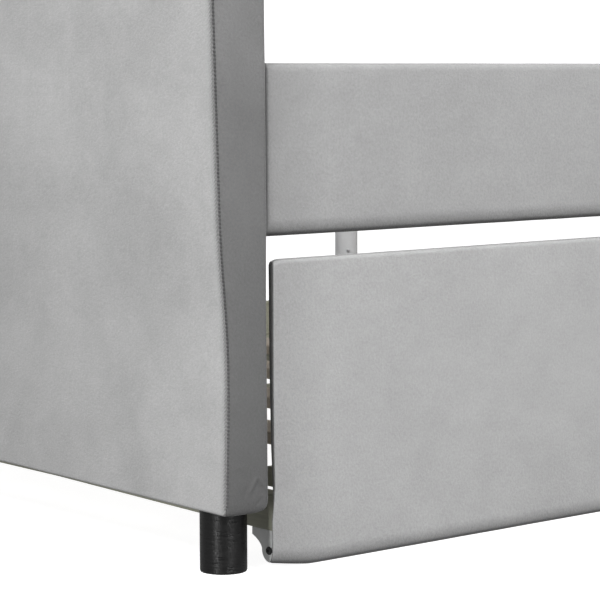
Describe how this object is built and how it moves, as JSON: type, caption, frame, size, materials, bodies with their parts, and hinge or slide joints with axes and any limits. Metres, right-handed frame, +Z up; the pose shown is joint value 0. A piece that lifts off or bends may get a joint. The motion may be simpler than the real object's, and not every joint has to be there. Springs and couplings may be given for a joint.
{
  "type": "trundle bed",
  "caption": "Velvet upholstered backless daybed with padded end panels, turned legs and a full-width pull-out trundle on casters.",
  "frame": {"origin": "middle of the footprint, on the floor, with the trundle closed", "axes": "+X along the bed's length, -Y towards the front where the trundle comes out, +Z up"},
  "size_m": [2.076, 1.02, 0.74],
  "materials": {
    "velvet": "short-pile velvet, brushed",
    "foam": "open-cell foam sheet",
    "dust_cloth": "non-woven cloth",
    "frame_wood": "planed pine",
    "face_board": "hardboard",
    "slat_wood": "sanded plywood",
    "trundle_wood": "olive-brown stained board",
    "black_leg": "black satin lacquer on turned wood",
    "glide": "moulded",
    "zinc_steel": "zinc plated",
    "black_steel": "black powder coat",
    "grey_tube": "light grey powder coat",
    "fork_steel": "grey stamped steel",
    "axle_steel": "black oxide",
    "wheel_plastic": "moulded, matt"
  },
  "bodies": {
    "bed": {"left_end_frame": "frame_wood", "left_end_padding": "foam", "left_end_cover": "velvet", "right_end_frame": "frame_wood", "right_end_padding": "foam", "right_end_cover": "velvet", "end_face_boards": "face_board", "end_dust_covers": "dust_cloth", "front_left_leg": "black_leg", "front_right_leg": "black_leg", "back_left_leg": "black_leg", "back_right_leg": "black_leg", "leg_glides": "glide", "leg_bolts": "zinc_steel", "front_rail_board": "frame_wood", "front_rail_padding": "foam", "front_rail_cover": "velvet", "front_ledge": "frame_wood", "back_rail_board": "frame_wood", "back_rail_padding": "foam", "back_rail_cover": "velvet", "back_ledge": "frame_wood", "rail_brackets": "black_steel", "rail_bolts": "zinc_steel", "centre_leg": "grey_tube", "centre_leg_plate": "grey_tube", "centre_leg_foot": "glide", "centre_leg_screws": "zinc_steel", "bed_slat_1": "slat_wood", "bed_slat_2": "slat_wood", "bed_slat_3": "slat_wood", "bed_slat_4": "slat_wood", "bed_slat_5": "slat_wood", "bed_slat_6": "slat_wood", "bed_slat_7": "slat_wood", "bed_slat_8": "slat_wood", "bed_slat_9": "slat_wood", "bed_slat_10": "slat_wood", "bed_slat_11": "slat_wood", "bed_slat_screws": "zinc_steel"},
    "trundle": {"trundle_front_board": "frame_wood", "trundle_front_padding": "foam", "trundle_front_cover": "velvet", "trundle_left_side": "trundle_wood", "trundle_right_side": "trundle_wood", "trundle_back_board": "trundle_wood", "trundle_cleats": "trundle_wood", "trundle_centre_beam": "trundle_wood", "trundle_slats": "slat_wood", "trundle_angles": "zinc_steel", "trundle_screws": "zinc_steel", "front_left_caster_fork": "fork_steel", "front_right_caster_fork": "fork_steel", "back_left_caster_fork": "fork_steel", "back_right_caster_fork": "fork_steel", "caster_axles": "axle_steel"},
    "front_left_roller": {"front_left_wheel": "wheel_plastic"},
    "front_right_roller": {"front_right_wheel": "wheel_plastic"},
    "back_left_roller": {"back_left_wheel": "wheel_plastic"},
    "back_right_roller": {"back_right_wheel": "wheel_plastic"}
  },
  "joints": [
    {"name": "trundle_slide", "type": "slide", "parent": "bed", "child": "trundle", "axis": [0, -1, 0], "range_m": [0, 0.95]},
    {"name": "front_left_roll", "type": "hinge", "parent": "trundle", "child": "front_left_roller", "pos_m": [-0.925, -0.4754, 0.013], "axis": [1, 0, 0], "continuous": true},
    {"name": "front_right_roll", "type": "hinge", "parent": "trundle", "child": "front_right_roller", "pos_m": [0.925, -0.4754, 0.013], "axis": [1, 0, 0], "continuous": true},
    {"name": "back_left_roll", "type": "hinge", "parent": "trundle", "child": "back_left_roller", "pos_m": [-0.925, 0.424, 0.013], "axis": [1, 0, 0], "continuous": true},
    {"name": "back_right_roll", "type": "hinge", "parent": "trundle", "child": "back_right_roller", "pos_m": [0.925, 0.424, 0.013], "axis": [1, 0, 0], "continuous": true}
  ],
  "couplings": [
    {"joint": "front_left_roll", "follows": "trundle_slide", "rad_per_m": 76.923},
    {"joint": "front_right_roll", "follows": "trundle_slide", "rad_per_m": 76.923},
    {"joint": "back_left_roll", "follows": "trundle_slide", "rad_per_m": 76.923},
    {"joint": "back_right_roll", "follows": "trundle_slide", "rad_per_m": 76.923}
  ]
}
